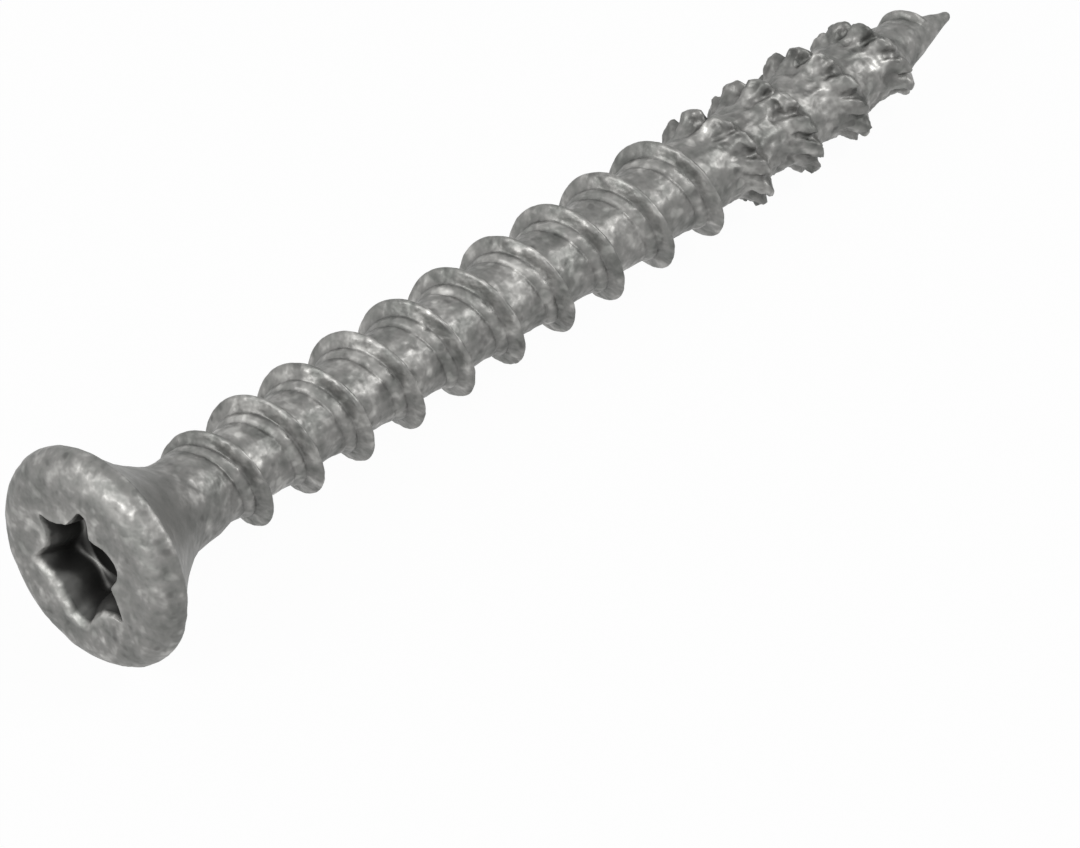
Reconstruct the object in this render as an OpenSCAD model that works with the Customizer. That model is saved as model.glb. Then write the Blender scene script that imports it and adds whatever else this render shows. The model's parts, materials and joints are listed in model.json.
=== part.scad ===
// Multi-purpose countersunk wood screw with a six-lobed drive and a serrated point,
// lying on a flat surface as it comes to rest: on the rim of its head and on its thread.
// Millimetres. The screw is described along its own axis, from the head's face at 0 to the
// point at length, and is laid down at the end. The origin is under the middle of the lying screw.

/* [Size] */
// Overall length, from the head's face to the point
length = 50; // [45:1:60]
// Outer diameter of the thread next to the head
thread_d = 5.1; // [4.8:0.05:5.5]
// Outer diameter of the thread where the serrated turns begin
thread_low_d = 4.94; // [4.6:0.02:5.2]
// Diameter of the core between the turns
core_d = 3.36; // [3.1:0.02:3.6]
// Distance between two turns of the thread
pitch = 2.905; // [2.6:0.005:3.2]

/* [Head] */
// Diameter of the head at its widest
head_d = 9.7; // [9:0.1:10.6]
// Diameter of the flat face inside the rounded rim
face_d = 7.4; // [6.4:0.1:8]
// Depth of the widest place below the face
rim_depth = 0.88; // [0.6:0.02:1.1]
// Size of the small rounding under the rim
rim_under = 0.12; // [0.05:0.01:0.2]
// Depth at which the curve under the head meets the neck
neck_depth = 5.4; // [4.8:0.1:6]
// How hollow the curve under the head is, 1 being a straight cone
seat_hollow = 1.56; // [1.3:0.02:1.8]
// Diameter of the plain neck
neck_d = 3.85; // [3.7:0.05:4.1]

/* [Drive recess] */
// Diameter over the six lobes
drive_d = 4.5; // [4.2:0.05:4.7]
// Diameter between opposite flutes
drive_flute_d = 3.26; // [3.15:0.01:3.4]
// Radius of a lobe
lobe_r = 0.39; // [0.36:0.01:0.42]
// Depth of the lobed walls
drive_depth = 2; // [1.5:0.1:2.3]
// How much wider the recess is at its mouth, as a factor
mouth_flare = 1.14; // [1.05:0.01:1.18]
// Depth to which the mouth is flared
mouth_depth = 0.5; // [0.3:0.05:0.8]
// Diameter of the round pocket in the recess's floor
pocket_d = 2.8; // [2:0.1:3]
// Depth of the round pocket's bottom below the face
pocket_depth = 2.7; // [2.5:0.1:3]

/* [Thread] */
// Plain length of the neck between the curve under the head and the first turn
plain_neck = 0.45; // [0.3:0.05:1.2]
// Length over which the first turn grows to its full height
run_in = 3; // [2:0.1:5]
// Width of the thread's crest
crest_w = 0.16; // [0.1:0.01:0.3]
// Width of the flank towards the head, without its root rounding
head_flank_w = 0.3; // [0.2:0.01:0.4]
// Width of the flank towards the point, without its root rounding
point_flank_w = 0.26; // [0.2:0.01:0.4]
// Width of the rounding at each root
root_w = 0.15; // [0.08:0.01:0.25]
// Distance from the point to the thread's end
thread_stop = 1.2; // [1:0.1:1.6]

/* [Serrations] */
// Length of the serrated stretch, measured from the point
toothed_length = 14.7; // [8:0.1:25]
// Distance from the point to the last notch
tooth_stop = 3.3; // [2:0.1:5]
// Depth of the notches between the teeth
notch_depth = 0.42; // [0.2:0.02:0.6]
// Turn of the teeth along the thread, in degrees
tooth_turn = 18; // [0:0.5:34]

/* [Point] */
// Length over which the thread tapers to the point
point_length = 10; // [8:0.5:12]
// Length over which the core tapers to the point
core_point_length = 7; // [6:0.5:8]
// Diameter of the blunt end
point_d = 0.3; // [0.2:0.02:0.5]

/* [Lie] */
// Turn of the thread about the screw's axis, in degrees
thread_turn = 129; // [0:1:359]
// Turn of the drive recess about the screw's axis, in degrees
drive_turn = 0; // [0:1:59]

/* [Hidden] */

// Facets: sides of a turned surface, thread stations in one turn, and sides of the recess
round_fn = 96;
stations = 52;
recess_sides = 60;
seat_steps = 12;
rim_steps = 6;
under_steps = 2;

lobes = 6;
half_lobe = 180 / lobes;
// Tapers: the thread keeps its size longer than the core does, and both end just past the blunt end
crest_taper = 2.5;
core_taper = 1.7;
past_point = 0.15;
// The first turn rises quickly and then levels out
run_in_rise = 2.5;
// Depth at which the first turn lines up with the chosen turn of the thread
thread_phase = 21.68;
// Height of the thread's section where the root roundings end, and at the crest's edges
root_height = 0.18;
crest_height = 0.97;
// The neck ends in a slim cone, which starts just past the thread's start and sinks into the core
thread_start = neck_depth + plain_neck;
neck_past_start = 0.15;
neck_cone_length = 2.3;
neck_cone_sink = 0.2;
neck_cone_start = thread_start + neck_past_start;
neck_cone_end = neck_cone_start + neck_cone_length;
// The threaded core starts inside the head, clear of the recess's pocket, and its first crest a little later
core_clear = 0.35;
first_crest_gap = 0.65;
core_start = pocket_depth + core_clear;
first_crest = core_start + first_crest_gap;
// Share of a notch's depth at each station of one tooth: a flat top and a notch beside it
NOTCH = [0, 0, 0, 1, 1];
tooth_middle = 1;
// The teeth reach their full depth over this length at both ends of the serrated stretch
rises_over = 1;

rim_r = head_d / 2;
seat_top = rim_depth + rim_under;

// The thread's section over one pitch: distance along the axis from the crest, and height
half_crest = crest_w / 2;
SECTION = [
    [-half_crest - head_flank_w - root_w, 0],
    [-half_crest - head_flank_w, root_height],
    [-half_crest, crest_height],
    [half_crest, crest_height],
    [half_crest + point_flank_w, root_height],
    [half_crest + point_flank_w + root_w, 0]
];
last_j = len(SECTION) - 1;

function limit(x) = max(0, min(1, x));

// Radii along the axis
function thread_envelope(z) =
    (thread_d + (thread_low_d - thread_d) * limit((z - thread_start - run_in)
        / (length - toothed_length - thread_start - run_in))) / 2
    * (1 - pow(limit((z - length + point_length) / (point_length + past_point)), crest_taper));
function core_envelope(z) =
    core_d / 2
    * (1 - pow(limit((z - length + core_point_length) / (core_point_length + past_point)), core_taper));
function run_in_share(z) = 1 - pow(1 - limit((z - thread_start) / run_in), run_in_rise);

function in_teeth(z) =
    limit((z - length + toothed_length) / rises_over) * limit((length - tooth_stop - z) / rises_over);

// Stations are numbered from the middle of a tooth's flat top, which lies at tooth_turn
tooth_z = thread_phase + pitch * tooth_turn / 360;
first_station = ceil((first_crest - tooth_z) / pitch * stations);
last_k = floor((length - thread_stop - tooth_z) / pitch * stations) - first_station;

function station_angle(k) = thread_turn + tooth_turn + (first_station + k) * 360 / stations;
function station_z(k) = tooth_z + (first_station + k) * pitch / stations;
function on_axis(r, angle, z) = [r * cos(angle), r * sin(angle), z];
function notch_share(k) =
    let(n = first_station + k + tooth_middle)
    NOTCH[n - len(NOTCH) * floor(n / len(NOTCH))];

// Height of the crest over the core at station k; the notches grow shallower with the thread near the point
plain_rise = (thread_low_d - core_d) / 2;
function crest_rise(k) =
    let(z = station_z(k), full = max(0, thread_envelope(z) - core_envelope(z)))
    run_in_share(z) * full - in_teeth(z) * notch_depth * notch_share(k) * limit(full / plain_rise);

function thread_point(k, j) =
    let(z = station_z(k) + SECTION[j][0], rise = crest_rise(k))
    (j == 0 && k < stations)
        ? on_axis(core_d / 2, station_angle(k), core_start)
        : on_axis(core_envelope(z) + rise * SECTION[j][1], station_angle(k), z);

THREAD_POINTS = [for (k = [0 : last_k], j = [0 : last_j]) thread_point(k, j)];
RING = (last_k + 1) * (last_j + 1);
END_POINTS = [for (i = [0 : stations - 1])
    on_axis(point_d / 2, station_angle(last_k - stations + i), length)];

function at(k, j) = k * (last_j + 1) + j;
function ring(i) = RING + i % stations;
// Two triangles for the patch between a pair of stations
function patch(a, b, c, d) = [[a, b, c], [a, c, d]];

// The face at the start closes the first turn at a flat ring, and its last sector is a fan
START_FACES = concat(
    [[for (k = [0 : stations - 1]) at(k, 0)]],
    [for (j = [0 : last_j - 1]) [at(stations - 1, 0), at(0, j + 1), at(0, j)]],
    [[at(stations - 1, 0), at(stations, 0), at(0, last_j)]]
);
SECTION_FACES = [for (k = [0 : last_k - 1], j = [0 : last_j - 1])
    each patch(at(k, j), at(k, j + 1), at(k + 1, j + 1), at(k + 1, j))];
CORE_FACES = [for (k = [0 : last_k - stations - 1])
    each patch(at(k, last_j), at(k + stations, 0), at(k + stations + 1, 0), at(k + 1, last_j))];
tail_k = last_k - stations;
END_FACES = concat(
    [for (i = [0 : stations - 2])
        each patch(at(tail_k + i, last_j), ring(i), ring(i + 1), at(tail_k + i + 1, last_j))],
    [[at(last_k - 1, last_j), ring(stations - 1), at(last_k, last_j)]],
    [for (j = [0 : last_j - 1]) [at(last_k, j + 1), ring(stations - 1), at(last_k, j)]],
    [[at(last_k, 0), ring(stations - 1), at(tail_k, last_j)]],
    [[at(tail_k, last_j), ring(stations - 1), ring(0)]],
    [[for (i = [stations - 1 : -1 : 0]) ring(i)]]
);

// The screw leans on its rim and on the turn of thread that touches first
lean = min([for (p = THREAD_POINTS) if (p[2] > neck_depth) atan((rim_r - p[0]) / (p[2] - rim_depth))]);
rest_height = rim_r * cos(lean) + rim_depth * sin(lean);
middle = (length * cos(lean) - face_d / 2 * sin(lean)) / 2;

// Half outline of the head: rounded rim, small under rounding, hollow curve, neck and sunk cone
function rim_point(a) = [face_d / 2 + (rim_r - face_d / 2) * sin(a), rim_depth * (1 - cos(a))];
function under_point(a) = [rim_r - rim_under * (1 - cos(a)), rim_depth + rim_under * sin(a)];
function seat_point(s) = [
    neck_d / 2 + (rim_r - rim_under - neck_d / 2) * pow(1 - s, seat_hollow),
    seat_top + (neck_depth - seat_top) * s
];

module head_and_neck() {
    rotate_extrude($fn = round_fn)
        polygon(concat(
            [[0, 0]],
            [for (i = [0 : rim_steps]) rim_point(90 * i / rim_steps)],
            [for (i = [1 : under_steps]) under_point(90 * i / under_steps)],
            [for (i = [1 : seat_steps]) seat_point(i / seat_steps)],
            [[neck_d / 2, neck_cone_start], [core_d / 2 - neck_cone_sink, neck_cone_end], [0, neck_cone_end]]
        ));
}

// Outline of the six-lobed recess: round lobes joined by hollow flutes that touch them
lobe_centre = drive_d / 2 - lobe_r;
// Radius of a flute that just touches the lobes beside it
flute_r = (pow(lobe_centre, 2) + pow(drive_flute_d / 2, 2) - lobe_centre * drive_flute_d * cos(half_lobe)
    - pow(lobe_r, 2)) / (2 * (lobe_r + lobe_centre * cos(half_lobe) - drive_flute_d / 2));
flute_centre = drive_flute_d / 2 + flute_r;
touch_x = lobe_centre + lobe_r / (lobe_r + flute_r) * (flute_centre * cos(half_lobe) - lobe_centre);
touch_y = lobe_r / (lobe_r + flute_r) * flute_centre * sin(half_lobe);
touch_angle = atan(touch_y / touch_x);

function drive_radius(angle) =
    let(a = abs(((angle + half_lobe) % (2 * half_lobe)) - half_lobe), b = half_lobe - a)
    a < touch_angle
        ? lobe_centre * cos(a) + sqrt(pow(lobe_r, 2) - pow(lobe_centre * sin(a), 2))
        : flute_centre * cos(b) - sqrt(pow(flute_r, 2) - pow(flute_centre * sin(b), 2));

// Levels of the recess: depth, factor on the lobed outline, and radius where it is round
above_face = 0.2;
flare_slope = (mouth_flare - 1) / mouth_depth;
wall_taper = 0.98;
pocket_bottom_share = 0.45;
ledge_drop = 0.1;
LEVELS = [
    [-above_face, mouth_flare + flare_slope * above_face, 0],
    [mouth_depth, 1, 0],
    [drive_depth, wall_taper, 0],
    [drive_depth + ledge_drop, 0, pocket_d / 2],
    [pocket_depth, 0, pocket_d / 2 * pocket_bottom_share]
];
function level_radius(level, angle) = level[1] > 0 ? level[1] * drive_radius(angle) : level[2];

module recess() {
    points = [for (level = LEVELS, i = [0 : recess_sides - 1])
        let(angle = i * 360 / recess_sides) on_axis(level_radius(level, angle), angle, level[0])];
    walls = [for (n = [0 : len(LEVELS) - 2], i = [0 : recess_sides - 1])
        let(a = n * recess_sides, next = (i + 1) % recess_sides)
        each patch(a + i, a + recess_sides + i, a + recess_sides + next, a + next)];
    top = [for (i = [0 : recess_sides - 1]) i];
    bottom = [for (i = [recess_sides - 1 : -1 : 0]) (len(LEVELS) - 1) * recess_sides + i];
    rotate([0, 0, drive_turn])
        polyhedron(points = points, faces = concat([top, bottom], walls));
}

module threaded_core() {
    polyhedron(
        points = concat(THREAD_POINTS, END_POINTS),
        faces = concat(START_FACES, SECTION_FACES, CORE_FACES, END_FACES)
    );
}

// The whole screw, laid down with its head towards -X
module screw() {
    color([0.55, 0.55, 0.54])
        translate([-middle, 0, rest_height])
            rotate([0, 90 + lean, 0]) {
                difference() {
                    head_and_neck();
                    recess();
                }
                threaded_core();
            }
}

screw();
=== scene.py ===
import json
import math
import random

import bpy
import numpy as np
from mathutils import Matrix, Vector, noise


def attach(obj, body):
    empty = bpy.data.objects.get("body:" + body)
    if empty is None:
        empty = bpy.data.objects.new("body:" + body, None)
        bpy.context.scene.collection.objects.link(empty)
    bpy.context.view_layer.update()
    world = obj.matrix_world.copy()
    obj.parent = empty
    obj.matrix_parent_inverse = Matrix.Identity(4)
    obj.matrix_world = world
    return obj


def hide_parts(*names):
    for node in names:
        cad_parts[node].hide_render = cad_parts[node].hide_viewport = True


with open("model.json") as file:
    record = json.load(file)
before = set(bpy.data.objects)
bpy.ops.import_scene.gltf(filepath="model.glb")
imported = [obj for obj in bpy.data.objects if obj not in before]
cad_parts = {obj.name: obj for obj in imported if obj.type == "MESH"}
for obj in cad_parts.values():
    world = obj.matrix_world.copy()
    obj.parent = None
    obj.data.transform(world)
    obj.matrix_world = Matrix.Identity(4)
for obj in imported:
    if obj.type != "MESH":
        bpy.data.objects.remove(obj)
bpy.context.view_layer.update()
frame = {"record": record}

MM = 0.001

# Sizes of the screw in millimetres and degrees, with depths along its axis from the face.
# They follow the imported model, and depart from it a little where the photograph does.
LENGTH = 50.0
HEAD_R = 4.85
FACE_R = 3.55
RIM_DEPTH = 0.98
RIM_UNDER = 0.12
NECK_DEPTH = 5.4
SEAT_HOLLOW = 1.56
NECK_R = 1.925
NECK_END = 5.95
CORE_SETTLES = 7.35
CORE_R = 1.68
CORE_TAPER_FROM = 43.0
CORE_TAPER = 1.7
THREAD_R = 2.55
THREAD_LOW_R = 2.47
THREAD_START = 5.85
RUN_IN = 3.0
RUN_IN_RISE = 2.5
CREST_TAPER_FROM = 40.0
CREST_TAPER = 2.95
PAST_POINT = 0.15
PITCH = 2.905
PHASE_Z = 21.68
THREAD_TURN = 129.0
THREAD_END = 48.9
THREAD_FADE = 1.1
TIP_R = 0.2
STRETCH_FROM = 44.0
STRETCH_OVER = 4.0
STRETCH = 0.21

# The teeth, and how far their shape reaches from the crest towards the head and behind it
TEETH_FROM = 35.3
TEETH_TO = 46.7
TEETH_FADE = 0.8
TOOTH_TURN = 18.0
TEETH_IN_A_TURN = 10.4
TOOTH_ANGLE = 360 / TEETH_IN_A_TURN
TOOTH_SLANT = 12.0
TOOTH_REACH = 0.92
TOOTH_REACH_BEHIND = 0.66
TOOTH_FULLNESS = 1.15
TOOTH_HOLLOW = 1.4

# The notches between the teeth and the worn tops, which vary at random within these ranges.
# Widths and shifts are shares of the angle from tooth to tooth.
NOTCH_SEED = 23
NOTCH_DEPTH = 0.46
NOTCH_DEPTH_SHARES = (0.82, 1.12)
NOTCH_HALF_WIDTHS = (0.24, 0.34)
NOTCH_SHIFT = 0.05
NOTCH_STEEPNESS = 1.25
TOOTH_WEAR = 0.15
WORN_HALF_WIDTH = 0.62
WORN_FADE = 0.12

# The ridge of each tooth, which runs from its top down to the core
RIDGE_HEIGHT = 0.34
RIDGE_REACH = 1.5
RIDGE_REACH_BEHIND = 0.8
RIDGE_ANGLE = 8.0
RIDGE_SHIFT = 0.12
RIDGE_SHIFT_BEAT = 5.1
RIDGE_STRENGTH = 0.7
RIDGE_SWING = 0.3
RIDGE_SWING_BEAT = 2.3

# Facets of the mesh: stations in one turn, cells along each stretch of the surface, how the
# seat's cells crowd towards the rim, and the rings of the round tip in degrees
TURN = 144
WALL_CELLS = 10
FLARE_CELLS = 8
FACE_CELLS = 10
RIM_CELLS = 12
RIM_UNDER_CELLS = 2
SEAT_CELLS = 30
SEAT_CROWDING = 1.25
LAND_CELLS = 3
UPPER_LAND_CELLS = 3
TIP_CELLS = 8
TIP_LIFTS = (30, 60)

# The strip that carries the thread: the ring it starts from, its first crest after that ring,
# and its far edge after the crest
STRIP_FROM = 4.85
STRIP_LEAD = 1.55
UPPER_LAND = 0.95

# The thread's section: distance along the axis from the crest, share of the height, and shade.
# From the head's side: a faint groove, a low bead, the crease above it, the flank, the crest,
# the far flank.
# The shade column paints shade into the groove and the crease, and highlights on the bead, the flank and
# the crest
SECTION = (
    (-1.40, 0.00, 1.00),
    (-1.15, -0.03, 0.93),
    (-0.98, -0.055, 0.87),
    (-0.88, -0.06, 0.84),
    (-0.81, -0.03, 0.86),
    (-0.75, 0.06, 1.02),
    (-0.69, 0.145, 1.16),
    (-0.62, 0.20, 1.15),
    (-0.55, 0.235, 1.08),
    (-0.48, 0.26, 1.02),
    (-0.42, 0.275, 0.96),
    (-0.37, 0.28, 0.87),
    (-0.32, 0.28, 0.79),
    (-0.28, 0.34, 0.90),
    (-0.23, 0.49, 1.08),
    (-0.17, 0.68, 1.18),
    (-0.11, 0.85, 1.16),
    (-0.05, 0.96, 1.12),
    (0.01, 1.00, 1.00),
    (0.07, 0.95, 0.96),
    (0.13, 0.80, 0.96),
    (0.19, 0.60, 0.97),
    (0.25, 0.38, 0.98),
    (0.32, 0.19, 0.98),
    (0.40, 0.07, 0.99),
    (0.50, 0.00, 1.00),
)

# The recess's throat under its flared mouth, as the zinc has left it: angle and radius.
# Four of its lobes are narrow notches, one is blunt and one is nearly filled.
THROAT = (
    (6.0, 2.62), (16.0, 2.32), (32.0, 2.08), (48.0, 2.12), (58.0, 2.42), (66.0, 2.68),
    (73.0, 2.25), (83.0, 1.88), (104.0, 1.95), (112.0, 2.42), (118.0, 2.72), (122.0, 2.18),
    (131.0, 1.86), (148.0, 1.72), (162.0, 1.98), (172.0, 2.44), (183.0, 2.34), (190.0, 1.45),
    (203.0, 1.48), (220.0, 1.78), (235.0, 1.93), (248.0, 1.96), (261.0, 1.74), (277.0, 1.50),
    (286.0, 1.86), (296.0, 2.26), (303.5, 2.76), (310.0, 2.22), (327.0, 1.98), (343.0, 2.20),
    (352.0, 2.74),
)
THROAT_DEPTH = 0.32
FLARE = 0.12
FLARE_CURVE = 1.35
WIDE_FLARE = 0.34
WIDE_FLARE_AT = 25.0

# The lobed wall, the ledge at its foot and the round pocket, whose top is under the wall's foot
LOBES = 6
LOBE_SHARPNESS = 1.3
WALL_LOBE_R = 2.18
WALL_FLUTE_R = 1.64
WALL_DEPTH = 1.76
WALL_LEAN = 0.15
WALL_BEND = 4
LEDGE_R = 1.46
LEDGE_GAP = 0.02
POCKET_TOP = 0.1
POCKET_BOTTOM = 2.75
POCKET_HOLLOW = 0.3
POCKET_FLOOR_RINGS = (0.3, 0.6, 0.85, 1.0)

# Rings of the pocket's wall: depth under its top, and shade, which paints shade on the wall
POCKET_WALL = ((0.36, 0.32), (0.2, 0.3), (0.08, 0.3))

# Rings of the ledge: share of the way in from the wall, depth under the wall's foot, and shade of the
# humps between the lobes, which paints a highlight on them
LEDGE = ((1.0, 0.1, 0.3), (0.45, 0.05, 0.9), (0.15, 0.02, 0.9))

# Shades of the head, where 1 is plain zinc: painted shade in the recess and on the seat, painted
# highlights on the humps, the mouth and the rim
POCKET_SHADE = 0.32
LEDGE_SHADE = 0.2
LOBE_SHADE = 0.17
FLUTE_LIGHT = 0.14
THROAT_LIGHT = 0.08
MOUTH_SHADE = 1.45
MOUTH_SHADE_RISE = 2.2
MOUTH_SHADE_LAG = 0.1
MOUTH_EDGE_LIGHT = 0.5
MOUTH_EDGE_FADE = 4
FACE_SHADE = 1.04
RIM_SHADE = 1.02
SEAT_DARKENING = 0.12
SEAT_DARKENING_OVER = 0.5
NECK_BRIGHT_FROM = 6.3
NECK_BRIGHT_OVER = 1.4

# The stretch of the rim with a painted highlight
BRIGHT_RIM_AT = 200.0
BRIGHT_RIM_R = 3.95
BRIGHT_RIM_WIDTH = 0.40
BRIGHT_RIM_FOCUS = 2.5
BRIGHT_RIM_LIGHT = 0.6

# Painted shade and highlights on the thread and its teeth: darker notches and teeth, lighter ridges and
# fold ridges
BEAD_TINT_RISE = 0.5
NOTCH_DARKENING = 0.3
RIDGE_LIGHT = 0.40
TEETH_DARKENING = 0.19
TEETH_DARK_REACH = 1.2
TEETH_DARK_REACH_BEHIND = 0.8
CRUMPLE_LIGHT = 2.6

# Strength of the finer lumps of zinc, where 1 is full
RECESS_LUMPINESS = 0.2
FACE_LUMPINESS = 0.9
SEAT_CALM = 0.58
SEAT_CALM_OVER = 0.4
NECK_LUMPS_FROM = 3.2
NECK_LUMPS_OVER = 2.2

# Noise of the zinc coat: waves for each millimetre, and height in millimetres. The seeds shift it.
WIDE_LUMPS = (0.9, 0.034)
MIDDLE_LUMPS = (2.1, 0.026)
FINE_LUMPS = (4.6, 0.014)
LARGE_FOLDS = (1.8, 0.18)
SMALL_FOLDS = (3.9, 0.05)
FOLD_MIDDLE = 0.2
MIDDLE_SEED = Vector((7.0, 3.0, 1.0))
FINE_SEED = Vector((2.0, 9.0, 4.0))

# The zinc's mottling, its grains and its bump
BLOTCH_SHARE = 0.36
PATCH_SHARE = 0.38
GRAIN_SHARE = 0.26
LEAST_CONTRAST = 0.2
METALLIC = 0.72
SPECULAR_LEVEL = 0.3
ROUGHNESS = 0.60
GRAIN_GLOSS = 0.24
BUMP_STRENGTH = 0.65
BUMP_HEIGHT = 0.30
BUMP_PATCHES = 0.78
BUMP_GRAINS = 0.22
ZINC_COLOURS = (
    (0.37, (0.140, 0.143, 0.135, 1)),
    (0.46, (0.195, 0.196, 0.187, 1)),
    (0.54, (0.242, 0.239, 0.230, 1)),
    (0.62, (0.375, 0.371, 0.357, 1)),
)
PIT_SHADES = (
    (0.20, (0.66, 0.66, 0.66, 1)),
    (0.34, (1.0, 1.0, 1.0, 1)),
    (0.62, (1.0, 1.0, 1.0, 1)),
    (0.78, (1.5, 1.5, 1.5, 1)),
)

# The floor and the world, with lengths of the floor in metres
FLOOR_HALF = 3.0
FLOOR_DROP = 0.02 * MM
FLOOR_COLOUR = (0.80, 0.80, 0.80, 1)
FLOOR_WHITENESS = 0.97
WORLD_LEVEL = 0.10

# Lamps, all at one distance in metres: name, azimuth, elevation, size in metres, and level
LAMP_DISTANCE = 0.6
LAMPS = (
    ("left", 174, 33, 0.34, 0.58),
    ("right", 312, 47, 0.26, 0.47),
    ("back", 75, 35, 0.40, 0.08),
)

# The photograph's view, and where the middle of the screw stands in it, in pixels
VIEW_AZIMUTH = 43.61
VIEW_ELEVATION = 42.23
WIDTH_PX = 1080
HEIGHT_PX = 848
MIDDLE_X_PX = 516.86
MIDDLE_Y_PX = 289.2
PX_PER_MM = 25.006
LENS_MM = 1150
SENSOR_MM = 36


def clamp(x):
    """x held between 0 and 1."""
    return np.clip(x, 0.0, 1.0)


def smooth(x):
    """A soft step: 0 up to x = 0, 1 from x = 1 on."""
    x = clamp(x)
    return x * x * (3 - 2 * x)


def body_radius(z):
    """Radius of the seat, the neck, the core and the point, without the thread."""
    seat_top = RIM_DEPTH + RIM_UNDER
    share = clamp((z - seat_top) / (NECK_DEPTH - seat_top))
    seat = (HEAD_R - RIM_UNDER - NECK_R) * (1 - share) ** SEAT_HOLLOW
    neck = NECK_R - (NECK_R - CORE_R) * smooth((z - NECK_END) / (CORE_SETTLES - NECK_END))
    point = 1 - clamp((z - CORE_TAPER_FROM) / (LENGTH + PAST_POINT - CORE_TAPER_FROM)) ** CORE_TAPER
    blunt = TIP_R * clamp((z - CORE_TAPER_FROM) / (LENGTH - CORE_TAPER_FROM))
    return np.hypot((neck + seat) * point, blunt)


def crest_z(angle):
    """Place of the crest along the axis at an unwrapped angle."""
    return PHASE_Z + PITCH * (angle - THREAD_TURN) / 360


def tooth_place(angle):
    """Place of an unwrapped angle among the teeth: a whole number on each tooth's middle line."""
    return (angle - THREAD_TURN - TOOTH_TURN) / TOOTH_ANGLE


def notch_shares(angle):
    """Depth share of the notches and of the wear on the teeth, each of its own size."""
    rng = random.Random(NOTCH_SEED)
    place = tooth_place(angle)
    share = np.zeros_like(place)
    first = int(np.floor(place.min()))
    for n in range(first, int(np.ceil(place.max())) + 1):
        depth = rng.uniform(*NOTCH_DEPTH_SHARES)
        half_width = rng.uniform(*NOTCH_HALF_WIDTHS)
        centre = n + 0.5 + rng.uniform(-NOTCH_SHIFT, NOTCH_SHIFT)
        wear_and_highlight = rng.uniform(0, TOOTH_WEAR)
        away = np.abs(place - centre) / half_width
        share = np.maximum(share, depth * smooth(NOTCH_STEEPNESS * (1 - away)))
        top = smooth((WORN_HALF_WIDTH - np.abs(place - n)) / WORN_FADE)
        share = np.maximum(share, wear_and_highlight * top)
    return share


def toothed_share(z):
    """1 along the toothed turns, 0 elsewhere."""
    return smooth((z - TEETH_FROM) / TEETH_FADE) * smooth((TEETH_TO - z) / TEETH_FADE)


def ridge_share(angle):
    """Up to 1 on the middle line of a tooth, where its ridge runs down to the core, 0 between teeth."""
    place = tooth_place(angle)
    tooth = np.round(place)
    away = (place - tooth + RIDGE_SHIFT * np.sin(RIDGE_SHIFT_BEAT * tooth)) * TOOTH_ANGLE
    strength = RIDGE_STRENGTH + RIDGE_SWING * np.sin(RIDGE_SWING_BEAT * tooth)
    return strength * np.exp(-(away / RIDGE_ANGLE) ** 2)


def reach(across, ahead, behind):
    """1 on the crest, falling to 0 at the given distances towards the head and towards the point."""
    return clamp(np.where(across < 0, 1 + across / ahead, 1 - across / behind))


def thread_radius(z):
    """Radius of the crest before its taper to the point."""
    along = clamp((z - THREAD_START - RUN_IN) / (TEETH_FROM - THREAD_START - RUN_IN))
    return THREAD_R + (THREAD_LOW_R - THREAD_R) * along


def crest_rise(angle, notches):
    """Height of the thread over the core at an unwrapped angle, less its notches."""
    z = crest_z(angle)
    crest_end = clamp((z - CREST_TAPER_FROM) / (LENGTH + PAST_POINT - CREST_TAPER_FROM))
    core_end = clamp((z - CORE_TAPER_FROM) / (LENGTH + PAST_POINT - CORE_TAPER_FROM))
    outer = thread_radius(z) * (1 - crest_end ** CREST_TAPER)
    inner = CORE_R * (1 - core_end ** CORE_TAPER)
    full = np.maximum(outer - inner, 0)
    grown = 1 - (1 - clamp((z - THREAD_START) / RUN_IN)) ** RUN_IN_RISE
    plain = THREAD_LOW_R - CORE_R
    rise = full * grown - toothed_share(z) * NOTCH_DEPTH * notches * clamp(full / plain)
    return rise * smooth((THREAD_END - z) / THREAD_FADE)


def seat_shade(z):
    """Painted shade on the seat and the neck: a little darker than the face and the thread."""
    from_rim = smooth((z - RIM_DEPTH - RIM_UNDER) / SEAT_DARKENING_OVER)
    return 1 - SEAT_DARKENING * from_rim * smooth((NECK_BRIGHT_FROM - z) / NECK_BRIGHT_OVER)


def lumpiness(z):
    """Strength of the finer lumps: least on the seat, nearly full on the face, full from the neck on."""
    on_seat = SEAT_CALM * float(smooth((z - RIM_DEPTH) / SEAT_CALM_OVER))
    on_head = FACE_LUMPINESS - on_seat
    return on_head + (1 - on_head) * float(smooth((z - NECK_LUMPS_FROM) / NECK_LUMPS_OVER))


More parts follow.
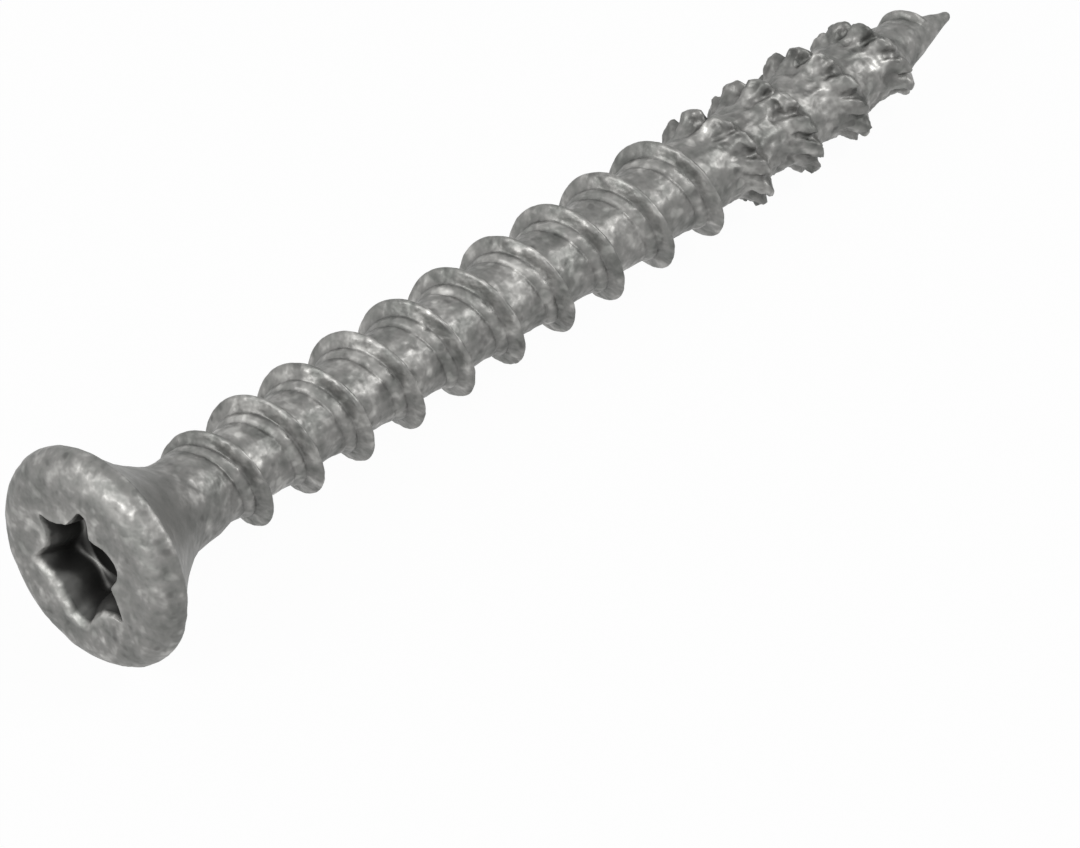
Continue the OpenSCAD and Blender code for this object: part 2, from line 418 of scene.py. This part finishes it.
class Shell:
    """Points, faces, shades and lumpiness of the one closed mesh, with the screw's axis along Z."""

    def __init__(self):
        self.points = []
        self.faces = []
        self.shades = []
        self.lumps = []

    def add(self, x, y, z, shade=1.0, in_recess=False):
        """Adds one point and returns its number."""
        self.points.append((x, y, z))
        self.shades.append(shade)
        self.lumps.append(RECESS_LUMPINESS if in_recess else lumpiness(z))
        return len(self.points) - 1

    def ring(self, radii, depths, shades, in_recess=False):
        """One turn of points around the axis, with one radius, depth and shade, or one for each point."""
        radii, depths, shades = (np.broadcast_to(values, TURN) for values in (radii, depths, shades))
        numbers = []
        for i in range(TURN):
            angle = math.tau * i / TURN
            x = radii[i] * math.cos(angle)
            y = radii[i] * math.sin(angle)
            numbers.append(self.add(x, y, depths[i], shades[i], in_recess))
        return numbers

    def bridge(self, upper, lower):
        """Quads between two rings, the first one earlier on the way from the recess to the point."""
        for i in range(TURN):
            n = (i + 1) % TURN
            self.faces.append((upper[i], upper[n], lower[n], lower[i]))

    def zip_lines(self, left, right):
        """Triangles between two lines of points that run towards the point of the screw."""
        i = j = 0
        while i < len(left) - 1 or j < len(right) - 1:
            left_z = self.points[left[i + 1]][2] if i < len(left) - 1 else math.inf
            right_z = self.points[right[j + 1]][2] if j < len(right) - 1 else math.inf
            if left_z <= right_z:
                corners = (left[i], right[j], left[i + 1])
                i += 1
            else:
                corners = (left[i], right[j], right[j + 1])
                j += 1
            if len(set(corners)) == 3:
                self.faces.append(corners)

    def join_lines(self, left, right):
        """Quads between two lines with as many points."""
        for j in range(len(left) - 1):
            self.faces.append((left[j], right[j], right[j + 1], left[j + 1]))


def throat_radii(degrees):
    """Radius of the throat all round, with its corners softened a little."""
    throat = np.interp(degrees, [row[0] for row in THROAT], [row[1] for row in THROAT], period=360)
    return (np.roll(throat, 1) + 2 * throat + np.roll(throat, -1)) / 4


def pocket_rings(shell):
    """The round pocket at the bottom of the recess, from its middle up."""
    rings = []
    for share in POCKET_FLOOR_RINGS:
        depth = POCKET_BOTTOM - POCKET_HOLLOW * share ** 2
        rings.append(shell.ring(LEDGE_R * share, depth, POCKET_SHADE, True))
    for down, shade in POCKET_WALL:
        depth = WALL_DEPTH + POCKET_TOP + down
        rings.append(shell.ring(LEDGE_R + LEDGE_GAP, depth, shade, True))
    return rings


def wall_rings(shell, degrees, throat, mouth):
    """The ledge, the lobed wall and the flare, from the pocket up to the mouth."""
    in_lobe = (0.5 + 0.5 * np.cos(np.radians(LOBES * degrees))) ** LOBE_SHARPNESS
    wall = WALL_FLUTE_R + (WALL_LOBE_R - WALL_FLUTE_R) * in_lobe
    # Painted shade in the recess, darkest in the lobes and lighter on the flutes and towards the throat
    dark = LOBE_SHADE + FLUTE_LIGHT * (1 - in_lobe)
    on_hump = (1 - in_lobe) ** 2
    rings = []
    for inward, down, glint in LEDGE:
        radii = wall + (LEDGE_R + LEDGE_GAP - wall) * inward
        shades = LEDGE_SHADE + (glint - LEDGE_SHADE) * on_hump
        rings.append(shell.ring(radii, WALL_DEPTH + down, shades, True))
    for n in range(1, WALL_CELLS + 1):
        share = n / WALL_CELLS
        depth = WALL_DEPTH + (THROAT_DEPTH - WALL_DEPTH) * share
        radii = wall + (throat - wall) * (WALL_LEAN * share + (1 - WALL_LEAN) * share ** WALL_BEND)
        rings.append(shell.ring(radii, depth, dark + THROAT_LIGHT * share, True))
    at_throat = dark + THROAT_LIGHT
    for n in range(1, FLARE_CELLS + 1):
        share = n / FLARE_CELLS
        depth = THROAT_DEPTH * (1 - share) ** FLARE_CURVE
        # Painted highlight on the flare of the mouth
        mouth_highlight = smooth(MOUTH_SHADE_RISE * share - MOUTH_SHADE_LAG)
        shades = at_throat + (MOUTH_SHADE - at_throat) * mouth_highlight
        rings.append(shell.ring(throat + (mouth - throat) * share, depth, shades))
    return rings


def face_rings(shell, degrees, mouth):
    """The flat face, the round rim and the short turn under it, with a painted highlight on one side of
    the rim.
    """
    facing = clamp(np.cos(np.radians(degrees - BRIGHT_RIM_AT))) ** BRIGHT_RIM_FOCUS

    # Painted highlight on the rim, strongest on the side towards BRIGHT_RIM_AT
    def wear_and_highlight(radii):
        return BRIGHT_RIM_LIGHT * facing * np.exp(-((radii - BRIGHT_RIM_R) / BRIGHT_RIM_WIDTH) ** 2)

    rings = []
    for n in range(1, FACE_CELLS + 1):
        share = n / FACE_CELLS
        radii = mouth + (FACE_R - mouth) * share
        # Painted highlight along the mouth's edge on the face
        edge = MOUTH_EDGE_LIGHT * clamp(1 - MOUTH_EDGE_FADE * share)
        rings.append(shell.ring(radii, 0.0, FACE_SHADE + edge + wear_and_highlight(radii)))
    for n in range(1, RIM_CELLS + 1):
        turn = math.pi / 2 * n / RIM_CELLS
        radius = FACE_R + (HEAD_R - FACE_R) * math.sin(turn)
        depth = RIM_DEPTH * (1 - math.cos(turn))
        rings.append(shell.ring(radius, depth, RIM_SHADE + wear_and_highlight(radius)))
    for n in range(1, RIM_UNDER_CELLS + 1):
        turn = math.pi / 2 * n / RIM_UNDER_CELLS
        radius = HEAD_R - RIM_UNDER * (1 - math.cos(turn))
        rings.append(shell.ring(radius, RIM_DEPTH + RIM_UNDER * math.sin(turn), 1.0))
    return rings


def seat_rings(shell):
    """The hollow seat, down to the ring that the strip starts from."""
    seat_top = RIM_DEPTH + RIM_UNDER
    rings = []
    for n in range(1, SEAT_CELLS + 1):
        share = (n / SEAT_CELLS) ** SEAT_CROWDING
        depth = seat_top + (STRIP_FROM - seat_top) * share
        rings.append(shell.ring(body_radius(depth), depth, seat_shade(depth)))
    return rings


def build_head(shell):
    """The recess from its bottom up, the face, the rim and the seat. It returns the last ring."""
    degrees = np.arange(TURN) * 360 / TURN
    throat = throat_radii(degrees)
    toward_wide = np.maximum(0, np.cos(np.radians(degrees - WIDE_FLARE_AT)))
    mouth = throat + FLARE + WIDE_FLARE * toward_wide ** 2
    bottom = shell.add(0, 0, POCKET_BOTTOM, POCKET_SHADE, True)
    rings = pocket_rings(shell)
    rings += wall_rings(shell, degrees, throat, mouth)
    rings += face_rings(shell, degrees, mouth)
    rings += seat_rings(shell)
    for i in range(TURN):
        shell.faces.append((bottom, rings[0][(i + 1) % TURN], rings[0][i]))
    for upper, lower in zip(rings, rings[1:]):
        shell.bridge(upper, lower)
    return rings[-1]


def thread_columns(shell, stations, start_ring):
    """Lines of points across the thread, one at each station of the strip wound around the core."""
    step = 360 / TURN
    crests = crest_z(stations * step)
    toothed = toothed_share(crests)
    section_u, section_heights, section_tints = np.array(SECTION).T
    tooth_reach = reach(section_u, TOOTH_REACH, TOOTH_REACH_BEHIND)
    tooth_heights = clamp(TOOTH_FULLNESS * tooth_reach) ** TOOTH_HOLLOW
    notches = notch_shares(stations[:, None] * step - TOOTH_SLANT * section_u)
    rises = crest_rise(stations[:, None] * step, notches)
    upper_u = np.linspace(section_u[-1], UPPER_LAND, UPPER_LAND_CELLS + 1)[1:]
    plain_rise = THREAD_LOW_R - CORE_R
    columns = []

    for n, station in enumerate(stations):
        z0 = crests[n]
        low_z = STRIP_FROM if n < TURN else crests[n - TURN] + UPPER_LAND
        land = np.linspace(low_z, z0 + section_u[0], LAND_CELLS + 1)[1:-1]
        zs = np.concatenate([land, z0 + section_u, z0 + upper_u])
        across = zs - z0
        shape = section_heights + (tooth_heights - section_heights) * toothed[n]
        heights = np.concatenate([land * 0, rises[n] * shape, upper_u * 0])
        ridge = toothed[n] * ridge_share(station * step - TOOTH_SLANT * across)
        ridge = ridge * reach(across, RIDGE_REACH, RIDGE_REACH_BEHIND)
        raised = RIDGE_HEIGHT * ridge * (1 - clamp(heights / plain_rise))
        radii = body_radius(zs) + np.hypot(heights, raised)

        # Painted shade and highlights: the section's shades, darker notches and teeth, lighter ridges,
        # and the seat's painted shade
        strength = (1 - toothed[n]) * clamp(rises[n] / BEAD_TINT_RISE)
        in_notch = NOTCH_DARKENING * toothed[n] * notches[n] * tooth_reach
        tints = 1 + (section_tints - 1) * strength - in_notch
        tints = np.concatenate([land * 0 + 1, tints, upper_u * 0 + 1])
        beside = reach(across, TEETH_DARK_REACH, TEETH_DARK_REACH_BEHIND)
        tints = tints * (1 + RIDGE_LIGHT * ridge - TEETH_DARKENING * toothed[n] * beside)
        tints = tints * seat_shade(zs)

        turn = math.radians(station * step)
        column = [start_ring[station % TURN] if n < TURN else columns[n - TURN][-1]]
        for r, z, tint in zip(radii, zs, tints):
            column.append(shell.add(r * math.cos(turn), r * math.sin(turn), z, tint))
        columns.append(column)
    return columns


def point_lines(shell, stations, columns):
    """Lines of points down the plain cone of the point, one at each station of the last turn."""
    step = 360 / TURN
    lines = []
    tip_from = LENGTH - TIP_R / 2
    for n in range(len(columns) - TURN, len(columns)):
        turn = math.radians(stations[n] * step)
        start = crest_z(stations[n] * step) + UPPER_LAND
        line = [columns[n][-1]]
        for share in np.linspace(0, 1, TIP_CELLS + 1)[1:]:
            z = start + (tip_from - start) * share
            r = float(body_radius(z))
            line.append(shell.add(r * math.cos(turn), r * math.sin(turn), z))
        for lift in TIP_LIFTS:
            r = TIP_R * math.cos(math.radians(lift))
            z = tip_from + TIP_R * math.sin(math.radians(lift))
            line.append(shell.add(r * math.cos(turn), r * math.sin(turn), z))
        lines.append(line)
    return lines


def build_thread(shell, start_ring):
    """The threaded stretch: one long strip wound around the core, and the cone of the point."""
    in_turns = np.array([STRIP_FROM + STRIP_LEAD - PHASE_Z, THREAD_END - PHASE_Z]) / PITCH
    first, last = (in_turns * 360 + THREAD_TURN) / 360 * TURN
    stations = np.arange(math.ceil(first), math.floor(last) + 1)
    columns = thread_columns(shell, stations, start_ring)
    lines = point_lines(shell, stations, columns)
    tip = shell.add(0, 0, LENGTH + TIP_R / 2)

    for n in range(len(columns) - 1):
        if n == TURN - 1:
            shell.zip_lines(columns[n], columns[0] + columns[n + 1][1:])
        else:
            shell.join_lines(columns[n], columns[n + 1])
    for left, right in zip(lines, lines[1:]):
        shell.join_lines(left, right)
        shell.faces.append((left[-1], right[-1], tip))
    shell.zip_lines(columns[-1] + lines[-1][1:], lines[0])
    shell.faces.append((lines[-1][-1], lines[0][-1], tip))


def fold(place, waves_and_height, seed):
    """Height of one set of folds, which are hollows with sharp ridges between."""
    waves, height = waves_and_height
    return height * (FOLD_MIDDLE - abs(noise.noise(place * waves + seed)))


def crumple(place):
    """Height of the crumpled zinc on the teeth at a place in millimetres; 0 elsewhere."""
    folds = fold(place, LARGE_FOLDS, MIDDLE_SEED) + fold(place, SMALL_FOLDS, FINE_SEED)
    return float(toothed_share(place.z)) * folds


def zinc_lumps(place):
    """Height of the zinc coat's lumps at a place in millimetres, larger on the teeth."""
    wide = WIDE_LUMPS[1] * noise.noise(place * WIDE_LUMPS[0])
    middle = MIDDLE_LUMPS[1] * noise.noise(place * MIDDLE_LUMPS[0] + MIDDLE_SEED)
    fine = FINE_LUMPS[1] * noise.noise(place * FINE_LUMPS[0] + FINE_SEED)
    return crumple(place) - wide - (middle + fine) * lumpiness(place.z)


def within_screw(place):
    """A point drawn in to the radius of the head or the thread, so that none stands out past it."""
    limit = HEAD_R if place.z < STRIP_FROM else float(thread_radius(place.z))
    share = min(1, limit / max(math.hypot(place.x, place.y), TIP_R))
    return Vector((place.x * share, place.y * share, place.z))


def face_and_axis():
    """Middle of the screw's face and the direction from there to its point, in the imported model."""
    mount = next(m for m in frame["record"]["mounts"] if m["name"] == "drive_recess")
    return Vector(mount["pos_m"]), -Vector(mount["axis"]).normalized()


def lay_down(points):
    """Moves points from the screw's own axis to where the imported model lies, in metres."""
    origin, along = face_and_axis()
    across = Vector((0, 1, 0))
    down = across.cross(along)
    turn = Matrix((down, across, along)).transposed()
    return [tuple(origin + turn @ (Vector(p) * MM)) for p in points]


def add_values(mesh, name, values):
    """Stores one number for each point, for the material."""
    attribute = mesh.attributes.new(name, "FLOAT", "POINT")
    attribute.data.foreach_set("value", np.array(values, dtype=np.float32))


def build_screw():
    """The whole screw as one closed mesh, lumped with zinc and laid on the floor."""
    shell = Shell()
    build_thread(shell, build_head(shell))
    mesh = bpy.data.meshes.new("screw_body")
    mesh.from_pydata(shell.points, [], shell.faces)
    mesh.update()
    normals = np.empty(len(mesh.vertices) * 3)
    mesh.vertex_normals.foreach_get("vector", normals)
    moved = []
    for p, normal in zip(shell.points, normals.reshape(-1, 3)):
        place = Vector(p)
        lumped = within_screw(place + Vector(normal) * zinc_lumps(place))
        lumped.z += STRETCH * float(smooth((place.z - STRETCH_FROM) / STRETCH_OVER))
        moved.append(lumped)
    placed = np.array(lay_down(moved))
    placed[:, 2] = np.maximum(placed[:, 2], 0)
    mesh.vertices.foreach_set("co", placed.ravel())
    folds = [crumple(Vector(p)) for p in shell.points]
    # The shade paints highlights on the folds' ridges and shade in their hollows
    add_values(mesh, "shade", np.array(shell.shades) * (1 + CRUMPLE_LIGHT * np.array(folds)))
    add_values(mesh, "lumps", shell.lumps)
    mesh.polygons.foreach_set("use_smooth", np.ones(len(mesh.polygons), dtype=bool))
    mesh.update()
    piece = bpy.data.objects.new("screw_body", mesh)
    bpy.context.scene.collection.objects.link(piece)
    return piece


def add_node(tree, kind, **inputs):
    """A shader node with the given input values; an underscore in a name stands for a space."""
    node = tree.nodes.new(kind)
    for name, value in inputs.items():
        node.inputs[name.replace("_", " ")].default_value = value
    return node


def ramp(tree, fac, stops):
    """A colour ramp fed by fac, with stops given as (place, linear colour)."""
    node = tree.nodes.new("ShaderNodeValToRGB")
    node.color_ramp.elements[0].position = stops[0][0]
    node.color_ramp.elements[1].position = stops[-1][0]
    for place, _ in stops[1:-1]:
        node.color_ramp.elements.new(place)
    for element, (_, colour) in zip(node.color_ramp.elements, stops):
        element.color = colour
    tree.links.new(fac, node.inputs["Fac"])
    return node.outputs["Color"]


def math_node(tree, operation, a, b):
    """One operation on two values, each a number or a socket."""
    node = tree.nodes.new("ShaderNodeMath")
    node.operation = operation
    for socket, value in zip(node.inputs, (a, b)):
        if isinstance(value, (int, float)):
            socket.default_value = value
        else:
            tree.links.new(value, socket)
    return node.outputs[0]


def weighted(tree, *parts):
    """Sum of sockets, each given with its weight."""
    products = [math_node(tree, "MULTIPLY", socket, weight) for socket, weight in parts]
    total = products[0]
    for product in products[1:]:
        total = math_node(tree, "ADD", total, product)
    return total


def attribute(tree, name):
    """The number that the mesh stores for each point under this name."""
    node = tree.nodes.new("ShaderNodeAttribute")
    node.attribute_name = name
    return node.outputs["Fac"]


def zinc_material():
    """Dull galvanised zinc: mottled grey, fine bright and dark grains, small lumps."""
    material = bpy.data.materials.new("galvanised_zinc")
    material.use_nodes = True
    tree = material.node_tree
    shader = tree.nodes["Principled BSDF"]
    place = tree.nodes.new("ShaderNodeTexCoord")
    in_mm = tree.nodes.new("ShaderNodeVectorMath")
    in_mm.operation = "SCALE"
    in_mm.inputs["Scale"].default_value = 1 / MM
    tree.links.new(place.outputs["Object"], in_mm.inputs[0])

    def pattern(scale, detail, seed):
        """A noise pattern of so many waves for each millimetre."""
        node = add_node(tree, "ShaderNodeTexNoise", Scale=scale, Detail=detail, Roughness=0.5)
        node.noise_dimensions = "4D"
        node.inputs["W"].default_value = seed
        tree.links.new(in_mm.outputs["Vector"], node.inputs["Vector"])
        return node.outputs["Fac"]

    lumps = attribute(tree, "lumps")
    contrast = math_node(tree, "MULTIPLY", lumps, 1 - LEAST_CONTRAST)
    contrast = math_node(tree, "ADD", contrast, LEAST_CONTRAST)

    def calmed(value):
        """A pattern drawn in towards its middle where the coat is smooth."""
        away = math_node(tree, "MULTIPLY", math_node(tree, "SUBTRACT", value, 0.5), contrast)
        return math_node(tree, "ADD", away, 0.5)

    blotch = pattern(scale=0.55, detail=2, seed=0)
    patch = pattern(scale=1.3, detail=1, seed=3)
    grain = pattern(scale=3.2, detail=1, seed=7)
    pit = pattern(scale=2.4, detail=0, seed=11)
    mottle = weighted(tree, (blotch, BLOTCH_SHARE), (patch, PATCH_SHARE), (grain, GRAIN_SHARE))
    colour = ramp(tree, calmed(mottle), ZINC_COLOURS)
    pits = ramp(tree, calmed(pit), PIT_SHADES)
    shaded = tree.nodes.new("ShaderNodeVectorMath")
    shaded.operation = "SCALE"
    tree.links.new(colour, shaded.inputs[0])
    # The stored shade paints shade and highlights into the zinc's colour
    tree.links.new(math_node(tree, "MULTIPLY", attribute(tree, "shade"), pits), shaded.inputs["Scale"])
    tree.links.new(shaded.outputs["Vector"], shader.inputs["Base Color"])
    shader.inputs["Metallic"].default_value = METALLIC
    shader.inputs["Specular IOR Level"].default_value = SPECULAR_LEVEL
    gloss = math_node(tree, "MULTIPLY", calmed(grain), -GRAIN_GLOSS)
    tree.links.new(math_node(tree, "ADD", gloss, ROUGHNESS), shader.inputs["Roughness"])

    bump = tree.nodes.new("ShaderNodeBump")
    bump.inputs["Distance"].default_value = BUMP_HEIGHT * MM
    tree.links.new(math_node(tree, "MULTIPLY", lumps, BUMP_STRENGTH), bump.inputs["Strength"])
    height = weighted(tree, (patch, BUMP_PATCHES), (grain, BUMP_GRAINS))
    tree.links.new(height, bump.inputs["Height"])
    tree.links.new(bump.outputs["Normal"], shader.inputs["Normal"])
    return material


def white_for_rays(tree):
    """1 where the camera, a glossy or a transmission ray looks, else 0."""
    path = tree.nodes.new("ShaderNodeLightPath")
    seen = math_node(tree, "MAXIMUM", path.outputs["Is Camera Ray"], path.outputs["Is Glossy Ray"])
    return math_node(tree, "MAXIMUM", seen, path.outputs["Is Transmission Ray"])


def floor_material():
    """Pale to the lamps' light, nearly white to the camera, and it keeps the screw's shadow."""
    material = bpy.data.materials.new("pale_floor")
    material.use_nodes = True
    tree = material.node_tree
    tree.nodes.remove(tree.nodes["Principled BSDF"])
    diffuse = add_node(tree, "ShaderNodeBsdfDiffuse", Color=FLOOR_COLOUR)
    glow = add_node(tree, "ShaderNodeEmission", Color=(1, 1, 1, 1), Strength=1.0)
    mix = tree.nodes.new("ShaderNodeMixShader")
    whiteness = math_node(tree, "MULTIPLY", white_for_rays(tree), FLOOR_WHITENESS)
    tree.links.new(whiteness, mix.inputs["Fac"])
    tree.links.new(diffuse.outputs[0], mix.inputs[1])
    tree.links.new(glow.outputs[0], mix.inputs[2])
    tree.links.new(mix.outputs[0], tree.nodes["Material Output"].inputs["Surface"])
    return material


def build_floor():
    """A wide square just under the screw."""
    sides = ((-1, -1), (1, -1), (1, 1), (-1, 1))
    corners = [(x * FLOOR_HALF, y * FLOOR_HALF, 0) for x, y in sides]
    mesh = bpy.data.meshes.new("floor")
    mesh.from_pydata(corners, [], [(0, 1, 2, 3)])
    floor = bpy.data.objects.new("floor", mesh)
    bpy.context.scene.collection.objects.link(floor)
    floor.location.z = -FLOOR_DROP
    mesh.materials.append(floor_material())


def build_world():
    """White to the rays that see it, and a low even light on the screw."""
    world = bpy.data.worlds.new("studio")
    world.use_nodes = True
    tree = world.node_tree
    background = tree.nodes["Background"]
    background.inputs["Color"].default_value = (1, 1, 1, 1)
    strength = math_node(tree, "MULTIPLY", white_for_rays(tree), 1 - WORLD_LEVEL)
    strength = math_node(tree, "ADD", strength, WORLD_LEVEL)
    tree.links.new(strength, background.inputs["Strength"])
    bpy.context.scene.world = world


def add_light(name, azimuth, elevation, size, level):
    """A soft square lamp; at level 1 it alone would light a facing white surface to white."""
    flat = math.cos(math.radians(elevation))
    direction = Vector((
        flat * math.cos(math.radians(azimuth)),
        flat * math.sin(math.radians(azimuth)),
        math.sin(math.radians(elevation)),
    ))
    data = bpy.data.lights.new(name, "AREA")
    data.size = size
    data.energy = level * math.pi ** 2 * LAMP_DISTANCE ** 2
    lamp = bpy.data.objects.new(name, data)
    lamp.location = direction * LAMP_DISTANCE
    lamp.rotation_mode = "QUATERNION"
    lamp.rotation_quaternion = direction.to_track_quat("Z", "Y")
    bpy.context.scene.collection.objects.link(lamp)


def build_camera():
    """The photograph's view: 55 degrees off the screw's axis, from the head's side and above."""
    face, along = face_and_axis()
    middle = face + along * LENGTH / 2 * MM
    azimuth = math.radians(VIEW_AZIMUTH)
    elevation = math.radians(VIEW_ELEVATION)
    view = Vector((
        math.cos(elevation) * math.cos(azimuth),
        math.cos(elevation) * math.sin(azimuth),
        -math.sin(elevation),
    ))
    right = view.cross(Vector((0, 0, 1))).normalized()
    up = right.cross(view)
    aim = middle + right * (WIDTH_PX / 2 - MIDDLE_X_PX) / PX_PER_MM * MM
    aim = aim - up * (HEIGHT_PX / 2 - MIDDLE_Y_PX) / PX_PER_MM * MM
    data = bpy.data.cameras.new("camera")
    data.lens = LENS_MM
    data.sensor_width = SENSOR_MM
    distance = LENS_MM / SENSOR_MM * WIDTH_PX / PX_PER_MM * MM
    camera = bpy.data.objects.new("camera", data)
    camera.rotation_mode = "QUATERNION"
    camera.rotation_quaternion = (-view).to_track_quat("Z", "Y")
    camera.location = aim - view * distance
    bpy.context.scene.collection.objects.link(camera)
    bpy.context.scene.camera = camera


build_camera()
build_world()
build_floor()
for lamp in LAMPS:
    add_light(*lamp)
bpy.context.scene.view_settings.view_transform = "Standard"

screw_body = build_screw()
screw_body.data.materials.append(zinc_material())
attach(screw_body, "root")
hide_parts("screw")
